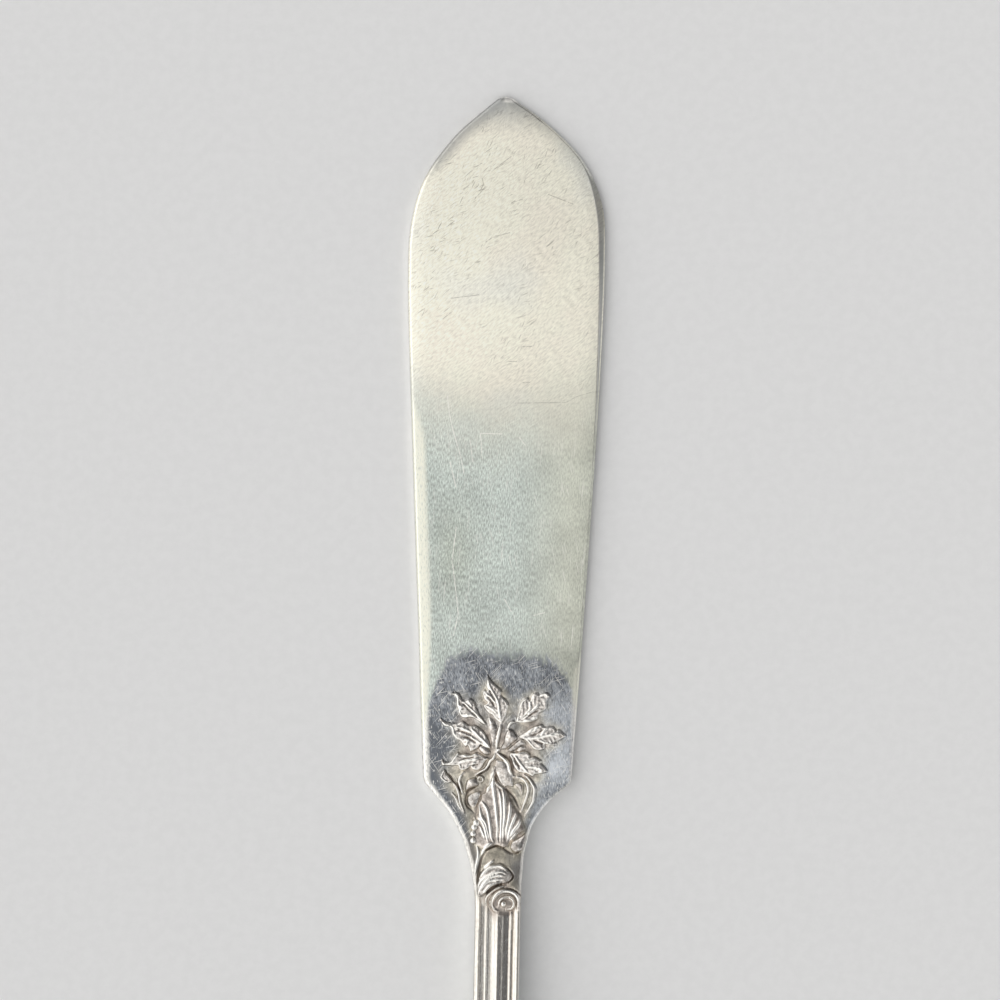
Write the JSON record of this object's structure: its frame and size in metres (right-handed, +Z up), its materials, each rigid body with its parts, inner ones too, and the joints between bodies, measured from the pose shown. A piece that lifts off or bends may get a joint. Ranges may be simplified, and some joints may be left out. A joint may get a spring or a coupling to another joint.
{
  "type": "master butter knife",
  "caption": "Flat-handled table knife for butter: broad pointed blade, struck leaf spray at the shoulder, slim reeded stem and widening handle, silver plated all over",
  "frame": {"origin": "middle of the knife's bounding box, on the table that its back rests on", "axes": "+X across the blade to the right as its front is seen, +Y along the knife to the tip of the blade, +Z up out of the decorated front"},
  "size_m": [0.0218, 0.178, 0.0049],
  "materials": {
    "nickel_silver": "rolled and struck, hidden under the silver",
    "silver_front": "worn satin silver with fine scratches, tarnish in the recesses",
    "silver_back": "worn satin silver with fine scratches"
  },
  "bodies": {
    "root": {"nickel_silver_blank": "nickel_silver", "silver_plate_front": "silver_front", "silver_plate_back": "silver_back"}
  },
  "joints": []
}
